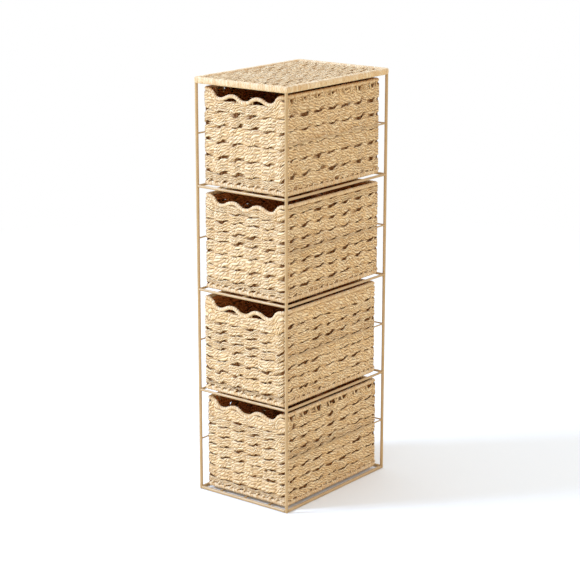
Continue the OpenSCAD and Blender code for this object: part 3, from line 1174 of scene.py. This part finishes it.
    def wrap_binding(self) -> None:
        """Winds the band round the bottom edge, and lashes it to the first course."""
        length = self.loop.length()
        line, out = self.loop.place(np.linspace(0, length, round(length / self.band_step), endpoint=False))
        points = line + (self.binding / 2 + 0.1 * MM) * Z_AXIS
        winding = Winding(self.binding / 2, self.wall / 2 + self.rope_cover, 5.8 * MM, 12, 0.15, 0.75)
        cords = self.wind(points, Z_AXIS, out, winding, True)
        count = round(length / self.lash_pitch)
        for i in range(count):
            self.lash(cords, (i + 0.5) * length / count, float(self.random.uniform(*self.tones)))
        self.keep(cords, self.wrap, "base_wrap", "base_binding")

    def lash(self, cords: CordSet, s: float, tone: float) -> None:
        """Adds one lashing: a short cord that climbs from the band over the first cord above it.

        Args:
            cords: The set that takes it.
            s: Its distance along the loop.
            tone: Its tone.
        """
        t = np.linspace(0, 1, 7)
        line, out = self.loop.place(s + (t - 0.5) * self.lash_run)
        z = self.binding - self.lash_sink + self.lash_rise * t[:, None]
        # It bulges out over the cord in the middle of its run
        n = (2.2 + 2.4 * np.sin(math.pi * t[:, None])) * MM
        centre = line + out * n + Z_AXIS * z
        across = np.cross(out, unit(np.gradient(centre, axis=0)))
        rings = section(centre, across, out, self.lash_high, self.lash_deep, 6)
        # Less than one turn, between two grooves, and each lashing at a turn of its own
        cords.sweep(self.to_world(rings), t * 0.8 + 0.1 + round(tone * 90), tone)

    def lace_side_rim(self) -> None:
        """Laces the open rims of the sides and the rear to the top course with a slanted running cord."""
        start = self.loop.side_length(Wall.FRONT) + self.loop.half_bend
        stop = self.loop.length() - self.loop.half_bend
        turns = round((stop - start) / self.lace_pitch)
        s = np.linspace(start, stop, turns * 14)  # 14 rings in a turn
        angle = 2 * math.pi * turns * (s - start) / (stop - start)
        line, out = self.loop.place(s - self.lace_lean * np.sin(angle))
        sine, cosine = np.sin(angle)[:, None], np.cos(angle)[:, None]
        z = self.rim_z - self.side_rim / 2 - self.lace_drop + self.lace_rise * cosine
        centre = line + out * self.lace_out * sine + Z_AXIS * z
        forward = unit(np.gradient(centre, axis=0))
        across = unit(np.cross(forward, out * sine + Z_AXIS * cosine))
        cords = CordSet()
        rings = section(centre, across, np.cross(across, forward), self.lace_high, self.lace_deep, 8)
        cords.sweep(self.to_world(rings), s / self.lace_turn, 0.6)
        self.keep(cords, self.weave, "rim_lacing")

    def build(self) -> None:
        """Builds every piece of the basket."""
        self.weave_walls()
        self.weave_bottom()
        self.wrap_side_rim()
        self.wrap_front_rim()
        self.wrap_binding()
        if self.side_fit is RimFit.OPEN:
            self.lace_side_rim()


# -------- woven top


@dataclass
class WovenTop:
    """The woven panel on top and the rope-wrapped rim round it."""

    weave: Rope
    wrap: Rope
    middle_z: float = 813 * MM
    rim_outer_x: float = 111.5 * MM
    rim_outer_y: float = 161.5 * MM
    rim_w: float = 9.5 * MM
    rim_h: float = 13 * MM
    rim_corner: float = 6.25 * MM
    stake_pitch: float = 40 * MM
    courses: int = 9
    cords: int = 4
    hole: float = 6 * MM
    under_x: float = 1.5 * MM
    under_y: float = 2.5 * MM
    sleeve_high: float = 3.0 * MM
    sleeve_deep: float = 2.5 * MM
    sleeve_turn: float = 8 * MM

    def weave_panel(self) -> None:
        """Weaves the panel, with cords that run front to back over the cross wires."""
        # The panel's edges end under the rim's rope
        half_x = self.rim_outer_x - self.rim_w + self.under_x
        half_y = self.rim_outer_y - self.rim_w + self.under_y
        twining = Twining(seed=11, cord_swell=1.18)
        y = np.linspace(-half_y, half_y, 98)
        phase = math.pi * y / self.stake_pitch
        stakes = spaced(9, self.stake_pitch)
        rows = np.linspace(-half_x, half_x, self.courses + 1)
        cords = CordSet()
        holes = [self.hole * twining.hole(y, stakes, 400 * MM) for _ in rows]
        for row in range(self.courses):
            twist = phase + math.pi * (row % 2)
            edges, pair = rows[row : row + 2], holes[row : row + 2]
            for cord in twining.course(y, twist, edges, pair, self.cords, 2 * half_y):
                centre = np.column_stack([-cord.z, y, self.middle_z + cord.n])
                rings = twining.rings(cord, centre, -X_AXIS, Z_AXIS, -1)
                # Painted shade in the pits below the panel's middle and behind the stakes
                inside = np.maximum(twining.pit_shade(self.middle_z - rings[..., 2]), cord.hidden_shade[:, None])
                cords.sweep(rings, -cord.turns, cord.tone, inside)
        x = np.linspace(-half_x, half_x, 26)
        for stake in stakes[1:-1]:
            centre = np.column_stack([x, np.full_like(x, stake), np.full_like(x, self.middle_z - 0.4 * MM)])
            rings = section(centre, Y_AXIS, Z_AXIS, self.sleeve_high, self.sleeve_deep, 8)
            # The cross-wire sleeves take a little painted pit shade
            cords.sweep(rings, x / self.sleeve_turn, 0.7, 0.1)
        cords.keep("top_woven_panel", self.weave, "rack", "top_weave")

    def wrap_rim(self) -> None:
        """Winds cord round the rim, with turns that fan out at the corners."""
        half_w = self.rim_w / 2
        loop = Loop(self.rim_outer_x - half_w, self.rim_outer_y - half_w, self.rim_corner - half_w)
        line, out = loop.place(np.concatenate([loop.samples(wall, 0.72 * MM, 6)[:-1] for wall in Wall]))
        along, total = walk(line + out * half_w, True)
        winding = Winding(self.rim_h / 2, half_w, 4.0 * MM, 16, 0.11, 0.75)
        turns = along / total * round(total / winding.pitch)
        cords = CordSet()
        cords.sweep(winding.rings(line + self.middle_z * Z_AXIS, Z_AXIS, out, turns), turns, closed=True)
        cords.keep("top_rim_wrap", self.wrap, "rack", "top_rim")

    def build(self) -> None:
        """Builds the panel and its rim."""
        self.weave_panel()
        self.wrap_rim()


# -------- wire


@dataclass
class WireRack:
    """The welded rack and the baskets' wire frames. The CAD wires stay, with powder coat on them."""

    rack_finish: bpy.types.Material
    basket_finish: bpy.types.Material

    def build(self) -> None:
        """Gives every CAD wire its finish."""
        for name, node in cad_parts.items():
            finish = self.basket_finish if name.endswith("wire_frame") else self.rack_finish
            if not node.material_slots:
                node.data.materials.append(finish)
            for slot in node.material_slots:
                slot.material = finish


# -------- studio


@dataclass
class Studio:
    """Camera, floor, lights and world."""

    eye: Triple = (2.0977, -2.6884, 1.2931)
    yaw: float = 0.6643
    pitch: float = 0.25857
    lens: float = 111.74
    sensor: float = 36
    view_depth: float = 200
    floor_radius: float = 40
    floor_z: float = -0.2 * MM
    floor_glow: float = 0.08
    floor_tint: Triple = (0.781, 0.769, 0.795)
    floor_bounce: Triple = (0.88, 0.82, 0.63)
    floor_near: float = 1.35
    floor_far: float = 2.4
    lamp_place: Triple = (-2.45, -2.63, 3.0)
    lamp_aim: Triple = (0.0, 0.0, 0.40)
    lamp_size: float = 0.9
    lamp_power: float = 161.0
    lamp_colour: Triple = (0.65, 0.90, 1.24)
    horizon: Triple = (1.07, 0.70, 0.30)
    zenith: Triple = (0.97, 1.20, 1.36)
    world_strength: float = 1.10

    def camera(self) -> None:
        """Puts the camera at the photograph's viewing angle."""
        sin_y, cos_y = math.sin(self.yaw), math.cos(self.yaw)
        sin_p, cos_p = math.sin(self.pitch), math.cos(self.pitch)
        right = (cos_y, sin_y, 0.0)
        back = (sin_y * cos_p, -cos_y * cos_p, sin_p)
        up = (-sin_y * sin_p, cos_y * sin_p, cos_p)
        data = bpy.data.cameras.new("photo_camera")
        data.sensor_width = self.sensor
        data.lens = self.lens
        data.clip_end = self.view_depth
        obj = bpy.data.objects.new("photo_camera", data)
        columns = Matrix((right, up, back)).transposed().to_4x4()
        obj.matrix_world = Matrix.Translation(self.eye) @ columns
        bpy.context.scene.collection.objects.link(obj)
        bpy.context.scene.camera = obj

    def floor(self) -> None:
        """Lays a pale floor that is white to the camera but keeps the shadow."""
        place = (0, 0, self.floor_z)
        shape = {"vertices": 96, "radius": self.floor_radius, "fill_type": "NGON"}
        bpy.ops.mesh.primitive_circle_add(**shape, location=place)
        obj = bpy.context.active_object
        obj.name = "floor"
        obj.data.transform(obj.matrix_world)
        obj.matrix_world = Matrix.Identity(4)
        bench = new_material("pale_floor")
        seen = bench.seen()
        away = bench.add("VectorMath", {0: bench.place()}, operation="LENGTH").outputs["Value"]
        far = bench.spread(away, self.floor_near, self.floor_far)
        glow = bench.spread(away, self.floor_near, self.floor_far, self.floor_glow)
        tint = bench.mix(far, self.floor_tint, (0.0, 0.0, 0.0))
        diffuse = bench.add("BsdfDiffuse", {"Color": bench.mix(seen, self.floor_bounce, tint)})
        light = bench.add("Emission", {"Color": (1.0, 1.0, 1.0), "Strength": bench.times(seen, glow)})
        both = bench.add("AddShader", {0: diffuse.outputs["BSDF"], 1: light.outputs["Emission"]})
        bench.feed(bench.surface, both.outputs["Shader"])
        obj.data.materials.append(bench.owner)

    def lamp(self) -> None:
        """Adds a square soft light that faces the tower's middle."""
        data = bpy.data.lights.new("key_light", "AREA")
        data.shape = "SQUARE"
        data.size = self.lamp_size
        data.energy = self.lamp_power
        data.color = self.lamp_colour
        obj = bpy.data.objects.new("key_light", data)
        obj.location = self.lamp_place
        x, y, z = np.array(self.lamp_aim) - np.array(self.lamp_place)
        obj.rotation_euler = (math.atan2(math.hypot(x, y), -z), 0.0, math.atan2(y, x) - math.pi / 2)
        bpy.context.scene.collection.objects.link(obj)

    def world(self) -> None:
        """A soft even world that the camera sees as white."""
        bench = NodeBench(bpy.data.worlds.new("studio"), "OutputWorld")
        climb = bench.split(bench.add("TexCoord").outputs["Generated"])["Z"]
        sky = bench.mix(bench.spread(climb, 0.15, 0.9), self.horizon, self.zenith)
        light = bench.add("Background", {"Color": sky, "Strength": self.world_strength})
        white = bench.add("Background", {"Color": (1.0, 1.0, 1.0), "Strength": 1.0})
        mixed = bench.add("MixShader", {0: bench.seen(), 1: light.outputs[0], 2: white.outputs[0]})
        bench.feed(bench.surface, mixed.outputs[0])
        bpy.context.scene.world = bench.owner

    def build(self) -> None:
        """Sets up the studio."""
        self.camera()
        self.floor()
        self.world()
        self.lamp()
        bpy.context.scene.view_settings.view_transform = "Standard"


# -------- the whole tower


def baskets(weave: Rope, wrap: Rope) -> list[WovenBasket]:
    """The four baskets, from the top.

    Args:
        weave: The rope that they are woven of.
        wrap: The rope round their rims and bands.

    Returns:
        The baskets. Their rows are in millimetres above the base.
    """
    front_1, side_1 = (26, 56, 86, 117, 143.5), (36.7, 67, 91, 121, 150)
    front_2, side_2 = (21.7, 46.7, 73, 97, 115.5, 136.7, 154.5), (28.7, 54, 76, 98.5, 119, 143.7, 166.7)
    front_3, side_3 = (18.5, 42, 64.7, 86.7, 103.5, 121, 141), (29.7, 53.5, 76, 97.7, 117, 137, 157)
    front_4, side_4 = (19.7, 44, 66.7, 88, 109, 129, 145.5), (28, 50.5, 74, 95.5, 111.7, 133, 153)
    # The top basket has fewer and higher courses, and wider holes that show its stakes
    coarse = {"front_hole": 7.2 * MM, "side_hole": 7.6 * MM, "cords": 4, "tight_row": 3}
    # Its stake sleeves take less painted pit shade than the other baskets'
    coarse |= {"sleeve": 5.2 * MM, "sleeve_shade": 0.42}
    # Base height, rows, rim fit at the crests and at the sides, sag, lift, and what is unlike the others
    plans = (
        (613.3 * MM, front_1, side_1, RimFit.OPEN, RimFit.OPEN, 2.5 * MM, 3.5 * MM, coarse),
        (410.8 * MM, front_2, side_2, RimFit.FILLED, RimFit.FILLED, 2 * MM, 2.5 * MM, {}),
        (208.3 * MM, front_3, side_3, RimFit.OPEN, RimFit.FILLED, 3.5 * MM, 4 * MM, {"forward": 6 * MM}),
        (6.3 * MM, front_4, side_4, RimFit.FILLED, RimFit.OPEN, 3.5 * MM, 2.5 * MM, {}),
    )
    return [WovenBasket(number, weave, wrap, *plan, **own) for number, (*plan, own) in enumerate(plans, 1)]


def main() -> None:
    """Builds the tower's pieces in order."""
    logging.basicConfig(level=logging.INFO, format="%(message)s")
    weave = Rope(PaperRopeFinish().material(), Slot.ROPE_WEAVE)
    wrap = Rope(WrappedRopeFinish().material(), Slot.ROPE_BINDING)
    coat = PowderCoatFinish("beige_powder_coat", linear(189, 159, 121), linear(172, 143, 105)).material()
    wire = PowderCoatFinish("basket_wire_coat", linear(190, 160, 119), linear(176, 145, 106)).material()
    Studio().build()
    WireRack(coat, wire).build()
    WovenTop(weave, wrap).build()
    for basket in baskets(weave, wrap):
        basket.build()


if __name__ == "__main__":
    main()
